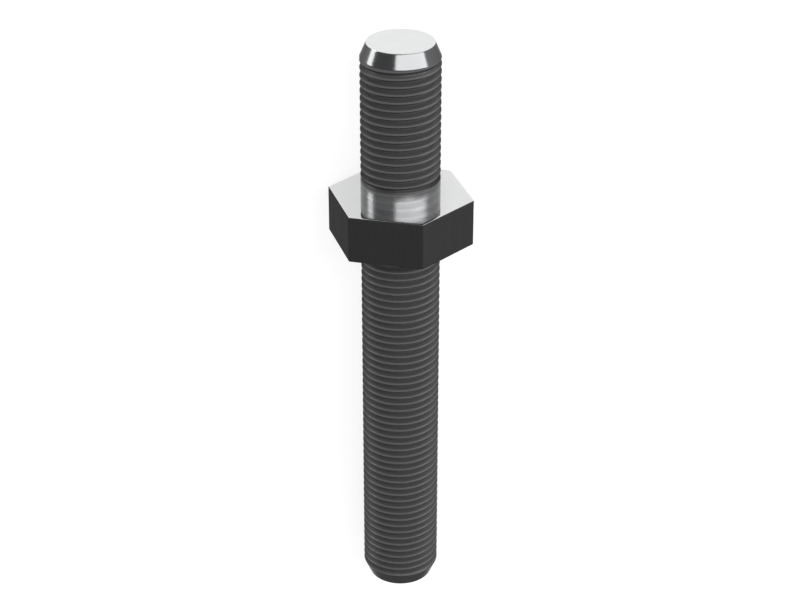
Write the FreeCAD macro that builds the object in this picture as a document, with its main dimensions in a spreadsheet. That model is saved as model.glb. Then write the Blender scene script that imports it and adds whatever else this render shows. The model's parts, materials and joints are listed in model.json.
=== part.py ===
"""Stud bolt with a hexagon collar: one piece of steel, turned from hexagon bar.

A short and a long threaded end leave the two faces of a plain hexagon collar. Both ends have the same steep
point. The threads are a fine helix, so each end is modelled at its major diameter, the size that a nut or a
tapped hole is chosen by.

The section is drawn about the Z axis, with the collar's seat at the origin and the short end upwards. The
body's placement then lays the stud down as it comes to rest on a flat surface: on the long end's point and on
the near edge of one hexagon flat, with the short end towards +Y and a little raised. The origin is on that
surface, under the middle of the stud's bounding box.
"""

import FreeCAD, Part

import os
from enum import IntEnum

import Sketcher

PARTS = "parts"

# How a sketch's constraints name the points of a line or circle, and the sketch's own origin and axis.
Spot = IntEnum("Spot", "START END CENTRE")
Own = IntEnum("Own", {"ORIGIN": -1, "VERTICAL_AXIS": -2})

# Driving dimensions, in millimetres, with the words that say what each one measures.
SIZES = [
    ("thread_diameter", 9.88, "major diameter of both threads"),
    ("short_end_length", 20.0, "from the collar to the short end's face"),
    ("long_end_length", 50.6, "from the collar to the long end's face"),
    ("collar_thickness", 6.0, "thickness of the hexagon collar"),
    ("across_flats", 16.0, "hexagon, flat to flat"),
    ("edge_break", 0.1, "break on the hexagon's edges, each way"),
    ("point_length", 1.85, "axial length of the point on each end"),
    ("point_face_diameter", 8.3, "flat face that each point ends in"),
]


def make_sizes(doc):
    """The sheet that holds the driving dimensions, one named cell each."""
    sheet = doc.addObject("Spreadsheet::Sheet", "Sizes")
    for row, (alias, value, meaning) in enumerate(SIZES, start=1):
        sheet.set(f"A{row}", alias)
        sheet.set(f"B{row}", str(value))
        sheet.set(f"C{row}", meaning)
        sheet.setAlias(f"B{row}", alias)
    doc.recompute()
    return sheet


def new_sketch(body, name, plane_role):
    """An empty sketch on one of the body's own origin planes."""
    sketch = body.newObject("Sketcher::SketchObject", name)
    plane = next(f for f in body.Origin.OriginFeatures if f.Role == plane_role)
    sketch.AttachmentSupport = [(plane, "")]
    sketch.MapMode = "FlatFace"
    return sketch


def closed_outline(sketch, points):
    """Straight lines through the points and back to the first, joined end to start."""
    corners = [FreeCAD.Vector(x, y, 0) for x, y in points]
    following = corners[1:] + corners[:1]
    lines = [
        sketch.addGeometry(Part.LineSegment(start, end), False)
        for start, end in zip(corners, following)
    ]
    for line, after in zip(lines, lines[1:] + lines[:1]):
        sketch.addConstraint(Sketcher.Constraint("Coincident", line, Spot.END, after, Spot.START))
    return lines


def dimension(sketch, name, expression, *constraint):
    """A named dimension that takes its value from the sheet."""
    index = sketch.addConstraint(Sketcher.Constraint(*constraint))
    sketch.renameConstraint(index, name)
    sketch.setExpression(f"Constraints.{name}", expression)


def hexagon_sketch(body, sizes):
    """The collar's outline: a regular hexagon with a corner every 60 degrees from +X, so flats face +Y and -Y."""
    sketch = new_sketch(body, "CollarOutline", "XY_Plane")
    corner_circle = sizes.across_flats / 3**0.5
    ray = FreeCAD.Vector(corner_circle, 0, 0)
    turns = [FreeCAD.Rotation(FreeCAD.Vector(0, 0, 1), angle) for angle in range(0, 360, 60)]
    corners = [turn.multVec(ray) for turn in turns]
    sides = closed_outline(sketch, [(c.x, c.y) for c in corners])
    circle = sketch.addGeometry(
        Part.Circle(FreeCAD.Vector(0, 0, 0), FreeCAD.Vector(0, 0, 1), corner_circle), True
    )
    sketch.addConstraint(Sketcher.Constraint("Coincident", circle, Spot.CENTRE, Own.ORIGIN, Spot.START))
    for side in sides:
        sketch.addConstraint(Sketcher.Constraint("PointOnObject", side, Spot.START, circle))
    for side in sides[1:]:
        sketch.addConstraint(Sketcher.Constraint("Equal", sides[0], side))
    far_flat, near_flat = sides[1], sides[4]
    sketch.addConstraint(Sketcher.Constraint("Horizontal", far_flat))
    dimension(
        sketch, "across_flats", "Sizes.across_flats",
        "DistanceY", near_flat, Spot.START, far_flat, Spot.START, sizes.across_flats,
    )
    return sketch


def section_sketch(body, sizes):
    """Half of the turned section, from the axis outwards: point, long end, short end, point."""
    sketch = new_sketch(body, "TurnedSection", "XZ_Plane")
    radius = sizes.thread_diameter / 2
    face = sizes.point_face_diameter / 2
    low = -sizes.long_end_length
    high = sizes.collar_thickness + sizes.short_end_length
    long_face, long_point, shank, short_point, short_face, axis = closed_outline(
        sketch,
        [
            (0, low),
            (face, low),
            (radius, low + sizes.point_length),
            (radius, high - sizes.point_length),
            (face, high),
            (0, high),
        ],
    )
    sketch.addConstraint(Sketcher.Constraint("Horizontal", long_face))
    sketch.addConstraint(Sketcher.Constraint("Vertical", shank))
    sketch.addConstraint(Sketcher.Constraint("Horizontal", short_face))
    sketch.addConstraint(Sketcher.Constraint("Vertical", axis))
    sketch.addConstraint(Sketcher.Constraint("PointOnObject", axis, Spot.START, Own.VERTICAL_AXIS))
    sketch.addConstraint(Sketcher.Constraint("Equal", long_face, short_face))
    dimension(
        sketch, "thread_radius", "Sizes.thread_diameter / 2",
        "DistanceX", Own.ORIGIN, Spot.START, shank, Spot.START, radius,
    )
    dimension(
        sketch, "point_face_radius", "Sizes.point_face_diameter / 2",
        "DistanceX", long_face, Spot.START, long_face, Spot.END, face,
    )
    dimension(
        sketch, "long_end", "Sizes.long_end_length",
        "DistanceY", long_face, Spot.START, Own.ORIGIN, Spot.START, sizes.long_end_length,
    )
    dimension(
        sketch, "short_end", "Sizes.collar_thickness + Sizes.short_end_length",
        "DistanceY", Own.ORIGIN, Spot.START, short_face, Spot.START, high,
    )
    dimension(
        sketch, "long_point", "Sizes.point_length",
        "DistanceY", long_point, Spot.START, long_point, Spot.END, sizes.point_length,
    )
    dimension(
        sketch, "short_point", "Sizes.point_length",
        "DistanceY", short_point, Spot.START, short_point, Spot.END, sizes.point_length,
    )
    return sketch


def add_collar(body, sizes):
    """The slice of hexagon bar that is left at full size, with all its edges broken."""
    collar = body.newObject("PartDesign::Pad", "Collar")
    collar.Profile = hexagon_sketch(body, sizes)
    collar.setExpression("Length", "Sizes.collar_thickness")
    body.Document.recompute()
    broken = body.newObject("PartDesign::Chamfer", "CollarEdgeBreak")
    broken.Base = (collar, [""])
    broken.UseAllEdges = True
    broken.setExpression("Size", "Sizes.edge_break")
    body.Document.recompute()


def add_shank(body, sizes):
    """Both ends in one turning, right through the collar."""
    section = section_sketch(body, sizes)
    shank = body.newObject("PartDesign::Revolution", "Shank")
    shank.Profile = section
    shank.ReferenceAxis = (section, ["V_Axis"])
    shank.Angle = 360
    body.Document.recompute()


def lay_down(body):
    """Rests the stud on the long end's point and on the edge of a flat.

    The tilt's tangent is the step from the thread up to the flat, over the distance between the two places
    that touch. The seat's centre is then half the hexagon above the surface, less the little that the tilt
    and the broken edge take off, and the bounding box's middle is half way along the axis.
    """
    body.addProperty("App::PropertyAngle", "RestTilt", "Rest", "Slope of the stud's axis as it lies")
    body.setExpression(
        "RestTilt",
        "atan((Sizes.across_flats - Sizes.thread_diameter) / 2"
        " / (Sizes.long_end_length - Sizes.point_length + Sizes.edge_break))",
    )
    body.Placement = FreeCAD.Placement(
        FreeCAD.Vector(0, 0, 0), FreeCAD.Rotation(FreeCAD.Vector(-1, 0, 0), 90)
    )
    body.setExpression("Placement.Rotation.Angle", "90 deg - RestTilt")
    body.setExpression(
        "Placement.Base.y",
        "(Sizes.long_end_length - Sizes.collar_thickness - Sizes.short_end_length) / 2 * cos(RestTilt)",
    )
    body.setExpression(
        "Placement.Base.z",
        "Sizes.across_flats / 2 * cos(RestTilt) - Sizes.edge_break * sin(RestTilt)",
    )
    body.Document.recompute()


def build_stud(doc, sizes):
    """The whole stud bolt: one solid, because the real one is one piece."""
    body = doc.addObject("PartDesign::Body", "StudBolt")
    body.Label = "stud_bolt"
    add_collar(body, sizes)
    add_shank(body, sizes)
    lay_down(body)
    return body


def check(doc, parts):
    """Stops the script if any feature failed, or a part is not one sound solid."""
    for item in doc.Objects:
        if {"Invalid", "Error"} & set(item.State):
            raise RuntimeError(f"{item.Name} failed: {item.State}")
    for part in parts:
        if part.Shape.isNull() or not part.Shape.isValid() or len(part.Shape.Solids) != 1:
            raise RuntimeError(f"{part.Label} is not one valid solid")


def main():
    doc = FreeCAD.newDocument("StudBolt")
    sizes = make_sizes(doc)
    parts = [build_stud(doc, sizes)]
    doc.recompute()
    check(doc, parts)
    os.makedirs(PARTS, exist_ok=True)
    for part in parts:
        part.Shape.exportStep(os.path.join(PARTS, f"{part.Label}.step"))
        box = part.Shape.BoundBox
        print(part.Label, "volume", round(part.Shape.Volume, 1), "tilt", part.RestTilt)
        print("box", [round(v, 3) for v in (box.XMin, box.YMin, box.ZMin, box.XMax, box.YMax, box.ZMax)])


main()
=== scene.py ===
"""The looks of the stud bolt: threads, turned faces and drawn flats, on a pale studio floor.

The solid has plain cylinders at the threads' major diameter. Here the right-hand helix is cut into
them, inside that cylinder, and the piece that results stands for the whole solid. Everything is in
metres and in the solid's own frame: the stud lies along Y, on the tip of its long end and on its
collar.
"""

import json
import math

import bmesh
import bpy
import numpy as np
from mathutils import Matrix, Vector


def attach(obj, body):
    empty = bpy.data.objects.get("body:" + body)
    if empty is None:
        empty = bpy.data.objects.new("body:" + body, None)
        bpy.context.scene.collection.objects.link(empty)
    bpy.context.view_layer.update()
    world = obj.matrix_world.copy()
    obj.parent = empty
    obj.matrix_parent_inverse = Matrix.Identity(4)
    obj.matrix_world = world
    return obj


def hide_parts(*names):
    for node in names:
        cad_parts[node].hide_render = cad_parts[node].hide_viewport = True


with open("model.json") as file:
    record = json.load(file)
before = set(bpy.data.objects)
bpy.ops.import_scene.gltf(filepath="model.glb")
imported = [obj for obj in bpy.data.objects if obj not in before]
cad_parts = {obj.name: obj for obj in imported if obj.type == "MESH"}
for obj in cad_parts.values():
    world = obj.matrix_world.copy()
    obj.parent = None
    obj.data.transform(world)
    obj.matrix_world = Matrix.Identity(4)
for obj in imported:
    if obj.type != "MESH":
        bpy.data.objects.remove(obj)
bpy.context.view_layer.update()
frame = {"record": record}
MM = 0.001

# What the record says of the stud: its axis, the way its upper flat faces, its seats and its
# threads.
MOUNTS = {mount["name"]: mount for mount in frame["record"]["mounts"]}
ALONG = Vector(MOUNTS["short_thread"]["axis"])
UP = Vector(MOUNTS["spanner_flat_upper"]["axis"])
ACROSS = ALONG.cross(UP)
RADIUS = MOUNTS["short_thread"]["dims"]["r_mm"] * MM
SHORT_THREAD = MOUNTS["short_thread"]["dims"]["length_mm"] * MM
LONG_THREAD = MOUNTS["long_thread"]["dims"]["length_mm"] * MM


def position(name):
    """Where a mount is."""
    return Vector(MOUNTS[name]["pos_m"])


AXIS_POINT = position("short_thread")


def distance_along(name):
    """How far a mount lies along the stud's axis from the middle of the short thread."""
    return (position(name) - AXIS_POINT).dot(ALONG)


def span(first, second, way):
    """The distance between two mounts, measured along a direction."""
    return abs((position(first) - position(second)).dot(way))


# Heights along the axis are counted from the collar's face on the short end's side.
COLLAR_CENTRE = AXIS_POINT + ALONG * distance_along("short_seat")
COLLAR = span("short_seat", "long_seat", ALONG)
FLATS = span("spanner_flat_upper", "spanner_flat_lower", UP)

# The thread: its pitch and depth, and where a crest crosses the top of the stud on each end.
PITCH = 1.0 * MM
THREAD_DEPTH = 0.55 * MM
SHORT_CREST = 16.98 * MM
LONG_CREST = -8.64 * MM

# The shares of a pitch that crest and root are flat, and half of a turn's profile, from the middle
# of a crest to the middle of a root, as shares of the pitch and of the depth. A small round leads
# from each flat into the flank.
CREST_SHARE = 0.19
ROOT_SHARE = 0.17
CREST_EDGE = CREST_SHARE / 2
ROOT_EDGE = (1 - ROOT_SHARE) / 2
FLANK = ROOT_EDGE - CREST_EDGE
HALF_PROFILE = np.array([
    (0.0, 0.0),
    (CREST_EDGE * 0.8, 0.0),
    (CREST_EDGE, 0.03),
    (CREST_EDGE + FLANK * 0.12, 0.14),
    (ROOT_EDGE - FLANK * 0.14, 0.88),
    (ROOT_EDGE, 0.97),
    (0.5, 1.0),
])

# How the grooves fade. On the short end they run out above a foot where they are faint, and they
# start gently at the point. On the long end they fade only next to the collar and the point. The
# crest lines begin within a short way of each lower end.
RUN_OUT = 1.0 * MM
FAINT_FOOT = 2.1 * MM
FAINT_SHARE = 0.02
SHORT_START = 1.6 * PITCH
LONG_FADE = 0.3 * PITCH
LONG_FOOT = 0.1 * PITCH
LINE_FADE = 0.3 * PITCH

# Heights above the collar between which the foot's bright finish, whose paler grey is partly
# painted reflection, gives way to the threads' dark one, and between which the dull finish of the
# run-out, whose darker grey is painted shade under the last thread, gives way to the threads'
# gloss.
BRIGHT_END, DARK_START = 1.5 * MM, 2.4 * MM
DULL_AND_SHADED_END, GLOSS_START = 2.6 * MM, 3.4 * MM

# The points, the collar's edges, and how much of a round edge still has the bright finish of its
# face.
POINT_LENGTH = 1.85 * MM
POINT_ROUND = 0.06 * MM
FACE_RADIUS = 4.15 * MM
EDGE_BREAK = 0.1 * MM
CORNER_RADIUS = 0.15 * MM
COLLAR_BRIGHT_RISE = 0.02 * MM
POINT_BRIGHT_RISE = 0.045 * MM

# How finely the turned surfaces are divided, how far off an edge the next row lies to keep a
# flat's shading flat, the same as a share of the collar's outline, how near points are merged, and
# the angle that is left sharp.
COLUMNS = 96
HOLD = 0.3 * MM
FACE_RING = 0.96
MERGED = 0.0004 * MM
SHARP_ANGLE = math.radians(32)

# The order of the stud's materials.
FACED, POINTED, THREADED, DRAWN, FOOT = range(5)

# Their near-greys. A pair goes from the darker places of a finish to its paler ones: low and high
# places of the polish or the streaks, and on the threads, the strip under them and the foot,
# grooves and crest lines, where the paler grey is a painted highlight. The long point's darker grey
# is painted shade, the strip's darker greys are painted shade under the last thread, and the
# foot's paler greys are partly painted reflection of the collar's face.
FACED_GREYS = (0.64, 0.643, 0.648, 1), (0.68, 0.683, 0.688, 1)
POINT_GREYS = (0.098, 0.099, 0.101, 1), (0.11, 0.111, 0.113, 1)
LONG_POINT_SHADE_GREY = (0.048, 0.048, 0.049, 1)
THREAD_GREYS = (0.078, 0.078, 0.079, 1), (0.133, 0.133, 0.135, 1)
SHADED_STRIP_GREYS = (0.042, 0.042, 0.043, 1), (0.1, 0.1, 0.101, 1)
FOOT_REFLECTION_GREYS = (0.158, 0.159, 0.161, 1), (0.19, 0.191, 0.193, 1)
DRAWN_GREYS = (0.038, 0.038, 0.039, 1), (0.048, 0.048, 0.049, 1)

# Their roughness, from the lowest to the highest, what the foot's polish takes off the threads'
# own and the dull strip adds to it, and how metallic the darker ones are. The crests' paler grey,
# a painted highlight, begins at this share of a crest line.
FACED_ROUGHNESS = 0.06, 0.09
POINT_ROUGHNESS = 0.14, 0.2
THREAD_ROUGHNESS = 0.25, 0.31
DRAWN_ROUGHNESS = 0.28, 0.36
FOOT_POLISH = -0.17
STRIP_DULLNESS = 0.14
THREAD_METAL, FOOT_METAL, DRAWN_METAL = 0.42, 0.7, 0.6
CREST_HIGHLIGHT_FROM = 0.8

# How much of a metal's gloss is left where it is seen at a slant, and the little gloss of the dark
# coat.
POINT_SLANT, THREAD_SLANT, FOOT_SLANT, DRAWN_SLANT = 0.5, 0.05, 1.0, 0.1
COAT_GLOSS = 0.02

# The lathe's rings: the distance between two, the wave texture's own ring at a scale of one, and
# their relief.
RING_SPACING = 0.22 * MM
WAVE_RING = 0.314
RING_RELIEF = 0.0006 * MM

# The floor's reach and grey, its glow near the stud and far off, and the distances between which
# that changes.
FLOOR_REACH = 3.0
FLOOR_GREY = (0.42, 0.42, 0.42, 1)
NEAR_GLOW, FAR_GLOW = 0.72, 1.0
GLOW_START, GLOW_END = 0.15, 0.6

# The room's level at the horizon and overhead, and the heights of a direction between which it
# changes.
HORIZON, CEILING = 1.0, 0.42
HORIZON_END, CEILING_START = 0.12, 0.19

# What a square metre of lamp gives for a brightness of one.
LAMP_POWER = 4


def rod_grid(rows_along, rows_radius, around):
    """Points of a surface round the axis, as (rows, columns, 3) in the stud's own directions.

    Each point is radius times (sin, cos) of its angle, across and up, at its height along the
    axis. Heights and radii are either one value a row or a whole grid.
    """
    along = np.broadcast_to(rows_along, (rows_along.shape[0], around.size))
    radius = np.broadcast_to(rows_radius, along.shape)
    return np.stack([radius * np.sin(around), along, radius * np.cos(around)], axis=-1)


def grid_faces(rows, columns, offset):
    """Four-sided faces between neighbours of a grid whose last column repeats the first."""
    corner = np.arange(rows - 1)[:, None] * columns + np.arange(columns - 1)[None, :]
    corner = corner.ravel() + offset
    return np.stack([corner, corner + 1, corner + columns + 1, corner + columns], axis=-1)


def thread_grid(around, low, high, crest_at, foot, faint, run_in, run_out):
    """A threaded stretch between two heights: heights, radii and crest lines on a helical grid.

    A row follows the helix: its height is its own start plus a pitch for each whole turn. Its
    radius is the major radius less the groove's depth there, a trapezium wave of the height less
    the helix's lead. The groove fades out towards both ends: at the lower one it is a faint share
    of its depth at the top of a foot, and that share falls to nothing at the end. What would pass
    an end is held at it. crest_at is a height at which a crest crosses the upward direction.

    The crest lines are one on a crest and fall to nothing at a root, as the groove's wave does.
    They go on over the foot, and rise to one right at both ends.
    """
    knots, depths = HALF_PROFILE.T
    turn_knots = np.concatenate([knots, 1 - knots[-2:0:-1]])
    turn_depths = np.concatenate([depths, depths[-2:0:-1]])
    first_turn = math.floor((low - crest_at) / PITCH) - 1
    last_turn = math.ceil((high - crest_at) / PITCH)
    turns = np.arange(first_turn, last_turn + 1)
    start = (turns[:, None] + turn_knots[None, :]).ravel() * PITCH + crest_at
    groove = np.tile(turn_depths, turns.size)[:, None]
    along = np.clip(start[:, None] + PITCH * around[None, :] / (2 * math.pi), low, high)
    inward = np.clip((along - low - foot) / run_in, 0, 1)
    faintly = faint * np.clip((along - low) / foot, 0, 1)
    share = faintly + (1 - faint) * inward * inward * (3 - 2 * inward)
    outward = np.clip((high - along) / run_out, 0, 1)
    outward = outward * (2 - outward)
    begun = np.clip((along - low) / LINE_FADE, 0, 1)
    return along, RADIUS - THREAD_DEPTH * groove * share * outward, 1 - groove * begun * outward


def point_profile(base, way):
    """Heights and radii of a point: the cone, a small round, and the face to its middle."""
    tip = base + way * POINT_LENGTH
    slope = (RADIUS - FACE_RADIUS) / POINT_LENGTH
    hold = 2 * POINT_ROUND
    cone_end = POINT_ROUND + hold
    face_edge = FACE_RADIUS - POINT_ROUND * 0.7
    return np.array([
        (base, RADIUS),
        (base + way * hold, RADIUS - slope * hold),
        (tip - way * cone_end, FACE_RADIUS + slope * cone_end),
        (tip - way * POINT_ROUND, FACE_RADIUS + slope * POINT_ROUND),
        (tip - way * POINT_ROUND * 0.35, FACE_RADIUS - POINT_ROUND * 0.1),
        (tip, face_edge),
        (tip, face_edge - hold),
        (tip, FACE_RADIUS / 2),
        (tip, 0),
    ]).T


def rounded_hexagon(inset):
    """A closed outline, a ring's points in number, from the middle of the upper flat.

    Each sixth is a corner arc about a fixed centre, of the corner radius less the inset, with the
    halves of the two flats beside it. Insetting the outline only shortens the arcs. On a flat, the
    points go from one just off the arc, which keeps the flat's shading flat, to the flat's middle.
    """
    steps = COLUMNS // 6
    arc = 2
    place_in_sixth = np.arange(steps) - steps // 2
    beyond = np.abs(place_in_sixth) - arc
    reach = (FLATS / 2 - CORNER_RADIUS) / math.cos(math.radians(30))
    rest = reach / 2 - HOLD
    off = np.where(beyond > 0, HOLD + rest * (beyond - 1) / (steps // 2 - arc - 1), 0)
    slide = np.tile(np.sign(place_in_sixth) * off, 6)
    turn = np.radians(np.clip(place_in_sixth, -arc, arc) * 30 / arc)
    middle = np.repeat(np.radians(30 + 60 * np.arange(6)), steps)
    facing = middle + np.tile(turn, 6)
    points = np.stack([
        reach * np.sin(middle) + (CORNER_RADIUS - inset) * np.sin(facing) + slide * np.cos(facing),
        reach * np.cos(middle) + (CORNER_RADIUS - inset) * np.cos(facing) - slide * np.sin(facing),
    ], axis=-1)
    return np.concatenate([points, points[:1]])


def collar_grid(around):
    """The collar: over its face on the long end, round both edges, and over the other face.

    Round an edge, the outline's inset and its drop below the face are the edge break less its
    share in a quarter turn's cosine and sine.
    """
    quarter = np.radians(np.array([90, 60, 30, 0, 0]))
    inset = EDGE_BREAK * (1 - np.cos(quarter))
    drop = EDGE_BREAK * (1 - np.sin(quarter))
    drop[-1] += HOLD
    rims = [rounded_hexagon(value) for value in inset]
    lower = [np.insert(rim, 1, low - COLLAR, axis=1) for rim, low in zip(rims, drop)]
    upper = [np.insert(rim, 1, -low, axis=1) for rim, low in zip(rims[::-1], drop[::-1])]
    within = np.array([FACE_RING, 1, FACE_RING])
    feet = rod_grid(np.array([[-COLLAR], [0.0]]), np.full((2, 1), RADIUS), around)
    return np.stack([feet[0], lower[0] * within, *lower, *upper, upper[-1] * within, feet[1]])


def place(points):
    """Moves points from the stud's own directions, across, along and up, to where it lies."""
    turn = np.array([ACROSS, ALONG, UP])
    return points.reshape(-1, 3) @ turn + np.array(COLLAR_CENTRE)


def stud_grids():
    """The stud's surfaces from one point to the other, each with its finish and its crest lines."""
    around = np.linspace(0, 2 * math.pi, COLUMNS + 1)
    long_low = -COLLAR - LONG_THREAD
    long_heights, long_radii = point_profile(long_low, -1)[:, ::-1, None]
    short_heights, short_radii = point_profile(SHORT_THREAD, 1)[:, :, None]
    *long_helix, long_lines = thread_grid(
        around, long_low, -COLLAR, LONG_CREST,
        foot=LONG_FOOT, faint=0, run_in=LONG_FADE, run_out=LONG_FADE,
    )
    *short_helix, short_lines = thread_grid(
        around, 0.0, SHORT_THREAD, SHORT_CREST,
        foot=FAINT_FOOT, faint=FAINT_SHARE, run_in=RUN_OUT, run_out=SHORT_START,
    )
    return [
        (rod_grid(long_heights, long_radii, around), POINTED, 1.0),
        (rod_grid(*long_helix, around), THREADED, long_lines),
        (collar_grid(around), DRAWN, 1.0),
        (rod_grid(*short_helix, around), THREADED, short_lines),
        (rod_grid(short_heights, short_radii, around), POINTED, 1.0),
    ]


def finish_by_place(materials, level):
    """Gives the faces that lie square to the axis their bright finish, and the foot its own.

    level holds the heights of each face's corners.
    """
    rise = np.where(materials == DRAWN, COLLAR_BRIGHT_RISE, POINT_BRIGHT_RISE)
    materials[(np.ptp(level, axis=1) < rise) & (materials != THREADED)] = FACED
    middle = level.mean(axis=1)
    materials[(middle > 0) & (middle < DARK_START) & (materials == THREADED)] = FOOT


def stud_mesh():
    """The whole stud as one closed shell, with its materials and its crest lines."""
    vertices, faces, materials, crest_lines, offset = [], [], [], [], 0
    for grid, finish, lines in stud_grids():
        rows, columns = grid.shape[:2]
        quads = grid_faces(rows, columns, offset)
        vertices.append(grid.reshape(-1, 3))
        faces.append(quads)
        materials.append(np.full(len(quads), finish))
        crest_lines.append(np.broadcast_to(lines, (rows, columns)).ravel())
        offset += rows * columns
    vertices = np.concatenate(vertices)
    faces = np.concatenate(faces)
    materials = np.concatenate(materials)
    finish_by_place(materials, vertices[faces][:, :, 1])

    mesh = bpy.data.meshes.new("stud")
    mesh.from_pydata(place(vertices), [], faces)
    mesh.polygons.foreach_set("material_index", materials)
    crest = mesh.attributes.new("crest_line", "FLOAT", "POINT")
    crest.data.foreach_set("value", np.concatenate(crest_lines))
    shell = bmesh.new()
    shell.from_mesh(mesh)
    bmesh.ops.remove_doubles(shell, verts=shell.verts, dist=MERGED)
    bmesh.ops.recalc_face_normals(shell, faces=shell.faces)
    shell.to_mesh(mesh)
    shell.free()
    mesh.polygons.foreach_set("use_smooth", np.ones(len(mesh.polygons), bool))
    mesh.set_sharp_from_angle(angle=SHARP_ANGLE)
    return mesh


def new_material(name):
    """An empty node material, its node tree and its shader."""
    material = bpy.data.materials.new(name)
    material.use_nodes = True
    tree = material.node_tree
    tree.nodes.clear()
    output = tree.nodes.new("ShaderNodeOutputMaterial")
    shader = tree.nodes.new("ShaderNodeBsdfPrincipled")
    tree.links.new(shader.outputs[0], output.inputs[0])
    return material, tree, shader


def feed(tree, socket, value):
    """Gives a socket its value: another node's output, a number or a colour."""
    if isinstance(value, bpy.types.NodeSocket):
        tree.links.new(value, socket)
    else:
        socket.default_value = value


def combined(tree, operation, first, second):
    """Two values joined by an arithmetic operation."""
    node = tree.nodes.new("ShaderNodeMath")
    node.operation = operation
    feed(tree, node.inputs[0], first)
    feed(tree, node.inputs[1], second)
    return node.outputs[0]


def to_range(tree, value, low, high, start=0.0, end=1.0):
    """A value mapped from the range start to end onto low to high, and held within it."""
    node = tree.nodes.new("ShaderNodeMapRange")
    node.inputs["From Min"].default_value = start
    node.inputs["From Max"].default_value = end
    node.inputs["To Min"].default_value = low
    node.inputs["To Max"].default_value = high
    tree.links.new(value, node.inputs["Value"])
    return node.outputs[0]


def mixed(tree, factor, low, high):
    """A colour between two others."""
    node = tree.nodes.new("ShaderNodeMix")
    node.data_type = "RGBA"
    feed(tree, node.inputs["A"], low)
    feed(tree, node.inputs["B"], high)
    tree.links.new(factor, node.inputs["Factor"])
    return node.outputs["Result"]


def stud_coordinates(tree):
    """Object coordinates, turned and shifted so that Y runs along the axis from the collar."""
    source = tree.nodes.new("ShaderNodeTexCoord")
    mapping = tree.nodes.new("ShaderNodeMapping")
    tilt = math.atan2(ALONG.z, ALONG.y)
    turn = Matrix.Rotation(-tilt, 3, "X")
    mapping.inputs["Rotation"].default_value = (-tilt, 0, 0)
    mapping.inputs["Location"].default_value = -(turn @ COLLAR_CENTRE)
    tree.links.new(source.outputs["Object"], mapping.inputs["Vector"])
    return mapping.outputs[0]


def height_on_axis(tree, where):
    """How high a place is: above the collar's face on the short end, and negative below it."""
    parts = tree.nodes.new("ShaderNodeSeparateXYZ")
    tree.links.new(where, parts.inputs[0])
    return parts.outputs["Y"]


def distance_from_collar(tree, where):
    """How high above the collar a place is, and about a metre for everything below it."""
    height = height_on_axis(tree, where)
    just_below = -0.01 * MM
    return combined(tree, "ADD", height, combined(tree, "LESS_THAN", height, just_below))


def noise(tree, vector, scale, stretch=(1, 1, 1)):
    """Noise on stretched coordinates."""
    squeeze = tree.nodes.new("ShaderNodeVectorMath")
    squeeze.operation = "MULTIPLY"
    squeeze.inputs[1].default_value = stretch
    texture = tree.nodes.new("ShaderNodeTexNoise")
    texture.inputs["Scale"].default_value = scale
    texture.inputs["Detail"].default_value = 3
    tree.links.new(vector, squeeze.inputs[0])
    tree.links.new(squeeze.outputs[0], texture.inputs["Vector"])
    return texture.outputs[0]


def turning_marks(tree, shader, where, strength):
    """Fine rings about the axis, as a lathe tool leaves them, in the shader's normal."""
    rings = tree.nodes.new("ShaderNodeTexWave")
    rings.wave_type = "RINGS"
    rings.rings_direction = "Y"
    rings.inputs["Scale"].default_value = WAVE_RING / RING_SPACING
    rings.inputs["Distortion"].default_value = 0.4
    relief = tree.nodes.new("ShaderNodeBump")
    relief.inputs["Distance"].default_value = RING_RELIEF
    relief.inputs["Strength"].default_value = strength
    tree.links.new(where, rings.inputs["Vector"])
    tree.links.new(rings.outputs["Fac"], relief.inputs["Height"])
    tree.links.new(relief.outputs[0], shader.inputs["Normal"])


def give_finish(tree, shader, colour, roughness, metallic=1.0, slant_gloss=1.0):
    """Gives a shader its colour, roughness and metal, and the gloss that is left at a slant."""
    feed(tree, shader.inputs["Base Color"], colour)
    feed(tree, shader.inputs["Roughness"], roughness)
    feed(tree, shader.inputs["Metallic"], metallic)
    shader.inputs["Specular Tint"].default_value = (slant_gloss, slant_gloss, slant_gloss, 1)


def faced_steel():
    """Bright faces cut square to the axis: faint rings, and a faint unevenness in the polish."""
    material, tree, shader = new_material("faced_steel")
    where = stud_coordinates(tree)
    polish = noise(tree, where, scale=500)
    colour = mixed(tree, polish, *FACED_GREYS)
    give_finish(tree, shader, colour, to_range(tree, polish, *FACED_ROUGHNESS))
    turning_marks(tree, shader, where, strength=0.4)
    return material


def point_steel():
    """Dark smooth points, which mirror the lamps as clear bands; the long end's is painted darker,
    as shade.
    """
    material, tree, shader = new_material("point_steel")
    where = stud_coordinates(tree)
    polish = noise(tree, where, scale=600)
    # The long end's point is painted a darker grey, as shade.
    long_end_shade = to_range(tree, height_on_axis(tree, where), 1.0, 0.0, start=-COLLAR, end=0.0)
    colour = mixed(tree, long_end_shade, mixed(tree, polish, *POINT_GREYS), LONG_POINT_SHADE_GREY)
    roughness = to_range(tree, polish, *POINT_ROUGHNESS)
    give_finish(tree, shader, colour, roughness, slant_gloss=POINT_SLANT)
    turning_marks(tree, shader, where, strength=0.3)
    return material


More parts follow.
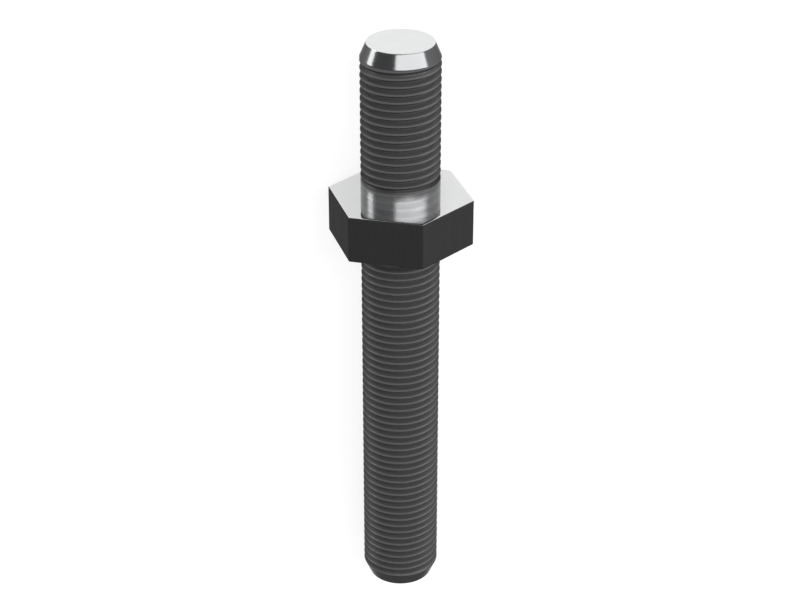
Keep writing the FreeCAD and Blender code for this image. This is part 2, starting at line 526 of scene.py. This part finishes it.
def threaded_steel(name, slant_gloss):
    """Dark rolled threads whose crests are painted paler as a highlight, a dull strip at their
    run-out whose darker grey is painted shade, and the bright foot, whose paler grey is partly
    painted reflection of the collar's face.

    The threads and the foot are two materials of this one kind, so that they meet without a step.
    Only the gloss at a slant differs.
    """
    material, tree, shader = new_material(name)
    where = stud_coordinates(tree)
    grain = noise(tree, where, scale=350, stretch=(1, 2, 1))
    line = tree.nodes.new("ShaderNodeAttribute")
    line.attribute_name = "crest_line"
    # The crests are painted a paler grey than the grooves, as a highlight.
    crest_highlight = to_range(tree, line.outputs["Fac"], 0.0, 1.0, start=CREST_HIGHLIGHT_FROM)
    above = distance_from_collar(tree, where)
    # The run-out strip is rougher, and its darker grey is painted shade under the last thread.
    dull_and_shaded = to_range(tree, above, 1.0, 0.0, start=DULL_AND_SHADED_END, end=GLOSS_START)
    # The foot is smoother and more metallic, and its paler grey is partly painted reflection of the
    # collar's face.
    bright = to_range(tree, above, 1.0, 0.0, start=BRIGHT_END, end=DARK_START)
    threads = mixed(tree, crest_highlight, *THREAD_GREYS)
    shaded_strip = mixed(tree, crest_highlight, *SHADED_STRIP_GREYS)
    foot = mixed(tree, crest_highlight, *FOOT_REFLECTION_GREYS)
    colour = mixed(tree, bright, mixed(tree, dull_and_shaded, threads, shaded_strip), foot)
    roughness = to_range(tree, grain, *THREAD_ROUGHNESS)
    for share, change in ((bright, FOOT_POLISH), (dull_and_shaded, STRIP_DULLNESS)):
        roughness = combined(tree, "ADD", roughness, to_range(tree, share, 0.0, change))
    metallic = to_range(tree, bright, THREAD_METAL, FOOT_METAL)
    give_finish(tree, shader, colour, roughness, metallic, slant_gloss)
    shader.inputs["Specular IOR Level"].default_value = COAT_GLOSS
    return material


def drawn_steel():
    """Dark drawn flats: faint streaks along the bar."""
    material, tree, shader = new_material("drawn_steel")
    where = stud_coordinates(tree)
    streaks = noise(tree, where, scale=1400, stretch=(1, 0.06, 1))
    colour = mixed(tree, streaks, *DRAWN_GREYS)
    roughness = to_range(tree, streaks, *DRAWN_ROUGHNESS)
    give_finish(tree, shader, colour, roughness, DRAWN_METAL, DRAWN_SLANT)
    shader.inputs["Specular IOR Level"].default_value = COAT_GLOSS
    return material


def make_stud():
    """The stud's piece: it stands for the solid, and goes with its only body."""
    mesh = stud_mesh()
    materials = {
        FACED: faced_steel(),
        POINTED: point_steel(),
        THREADED: threaded_steel("threaded_steel", THREAD_SLANT),
        DRAWN: drawn_steel(),
        FOOT: threaded_steel("foot_steel", FOOT_SLANT),
    }
    for index in sorted(materials):
        mesh.materials.append(materials[index])
    stud = bpy.data.objects.new("threaded_stud", mesh)
    bpy.context.scene.collection.objects.link(stud)
    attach(stud, "root")
    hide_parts("stud_bolt")


def seen_directly(tree, strength):
    """A strength for what the camera sees, also in a reflection, and none for other light."""
    path = tree.nodes.new("ShaderNodeLightPath")
    seen = path.outputs["Is Camera Ray"]
    for ray in ("Is Glossy Ray", "Is Transmission Ray"):
        seen = combined(tree, "MAXIMUM", seen, path.outputs[ray])
    return combined(tree, "MULTIPLY", seen, strength)


def make_floor():
    """A wide white floor that glows to the eye and in the metal, most so far off."""
    sides = ((-1, -1), (1, -1), (1, 1), (-1, 1))
    corners = [(x * FLOOR_REACH, y * FLOOR_REACH, 0) for x, y in sides]
    mesh = bpy.data.meshes.new("floor")
    mesh.from_pydata(corners, [], [(0, 1, 2, 3)])
    floor = bpy.data.objects.new("floor", mesh)
    bpy.context.scene.collection.objects.link(floor)
    material, tree, shader = new_material("floor_white")
    shader.inputs["Base Color"].default_value = FLOOR_GREY
    shader.inputs["Roughness"].default_value = 0.9
    shader.inputs["Specular IOR Level"].default_value = 0.0
    shader.inputs["Emission Color"].default_value = (1, 1, 1, 1)
    where = tree.nodes.new("ShaderNodeTexCoord")
    distance = tree.nodes.new("ShaderNodeVectorMath")
    distance.operation = "LENGTH"
    tree.links.new(where.outputs["Object"], distance.inputs[0])
    far = distance.outputs["Value"]
    glow = to_range(tree, far, NEAR_GLOW, FAR_GLOW, start=GLOW_START, end=GLOW_END)
    tree.links.new(seen_directly(tree, glow), shader.inputs["Emission Strength"])
    mesh.materials.append(material)


def make_sky():
    """A studio room: white round the horizon, a plain grey ceiling."""
    world = bpy.data.worlds.new("studio")
    bpy.context.scene.world = world
    world.use_nodes = True
    tree = world.node_tree
    tree.nodes.clear()
    output = tree.nodes.new("ShaderNodeOutputWorld")
    background = tree.nodes.new("ShaderNodeBackground")
    source = tree.nodes.new("ShaderNodeTexCoord")
    parts = tree.nodes.new("ShaderNodeSeparateXYZ")
    tree.links.new(source.outputs["Generated"], parts.inputs[0])
    background.inputs["Color"].default_value = (1, 1, 1, 1)
    height = parts.outputs["Z"]
    level = to_range(tree, height, HORIZON, CEILING, start=HORIZON_END, end=CEILING_START)
    tree.links.new(level, background.inputs["Strength"])
    tree.links.new(background.outputs[0], output.inputs[0])


def softbox(name, direction, long_side, distance, length, width, brightness):
    """A long lamp that faces the short end's point from one of the stud's own directions."""
    lamp = bpy.data.lights.new(name, "AREA")
    lamp.shape = "RECTANGLE"
    lamp.size = length
    lamp.size_y = width
    lamp.energy = LAMP_POWER * width * length * brightness
    own = Matrix((ACROSS, ALONG, UP)).transposed()
    way = (own @ Vector(direction)).normalized()
    lengthwise = own @ Vector(long_side)
    sideways = (lengthwise - way * lengthwise.dot(way)).normalized()
    upward = way.cross(sideways)
    turn = Matrix((sideways, upward, way)).transposed().to_4x4()
    holder = bpy.data.objects.new(name, lamp)
    aim = COLLAR_CENTRE + ALONG * SHORT_THREAD
    holder.matrix_world = Matrix.Translation(aim + way * distance) @ turn
    bpy.context.scene.collection.objects.link(holder)


def make_lights():
    """One long strip from overhead down to the right, and a short one low on the left."""
    softbox(
        "key", direction=(0.706, 0.438, 0.557), long_side=(0.99, -0.2, -1.09),
        distance=0.5, length=1.13, width=0.15, brightness=6.0,
    )
    softbox(
        "rim", direction=(-0.94, 0.27, 0.12), long_side=(0.13, 0.0, 0.98),
        distance=0.5, length=0.16, width=0.2, brightness=6.5,
    )


def make_camera():
    """The photograph's view: from beyond the short end, and a little round from the upper flat."""
    round_angle = math.radians(12.956)
    down_angle = math.radians(28.769)
    level_distance, height, sideways = 217.66 * MM, 104.5 * MM, -0.07 * MM
    right = ACROSS * math.cos(round_angle) - UP * math.sin(round_angle)
    away = -ACROSS * math.sin(round_angle) - UP * math.cos(round_angle)
    forward = away * math.cos(down_angle) - ALONG * math.sin(down_angle)
    upward = away * math.sin(down_angle) + ALONG * math.cos(down_angle)
    stand = COLLAR_CENTRE + right * sideways - away * level_distance + ALONG * height
    lens = bpy.data.cameras.new("camera")
    lens.lens = 87.89
    lens.sensor_width = 36.0
    lens.clip_start = 0.01
    camera = bpy.data.objects.new("camera", lens)
    turn = Matrix((right, upward, -forward)).transposed().to_4x4()
    camera.matrix_world = Matrix.Translation(stand) @ turn
    bpy.context.scene.collection.objects.link(camera)
    bpy.context.scene.camera = camera


make_stud()
make_floor()
make_sky()
make_lights()
make_camera()
bpy.context.scene.view_settings.view_transform = "Standard"
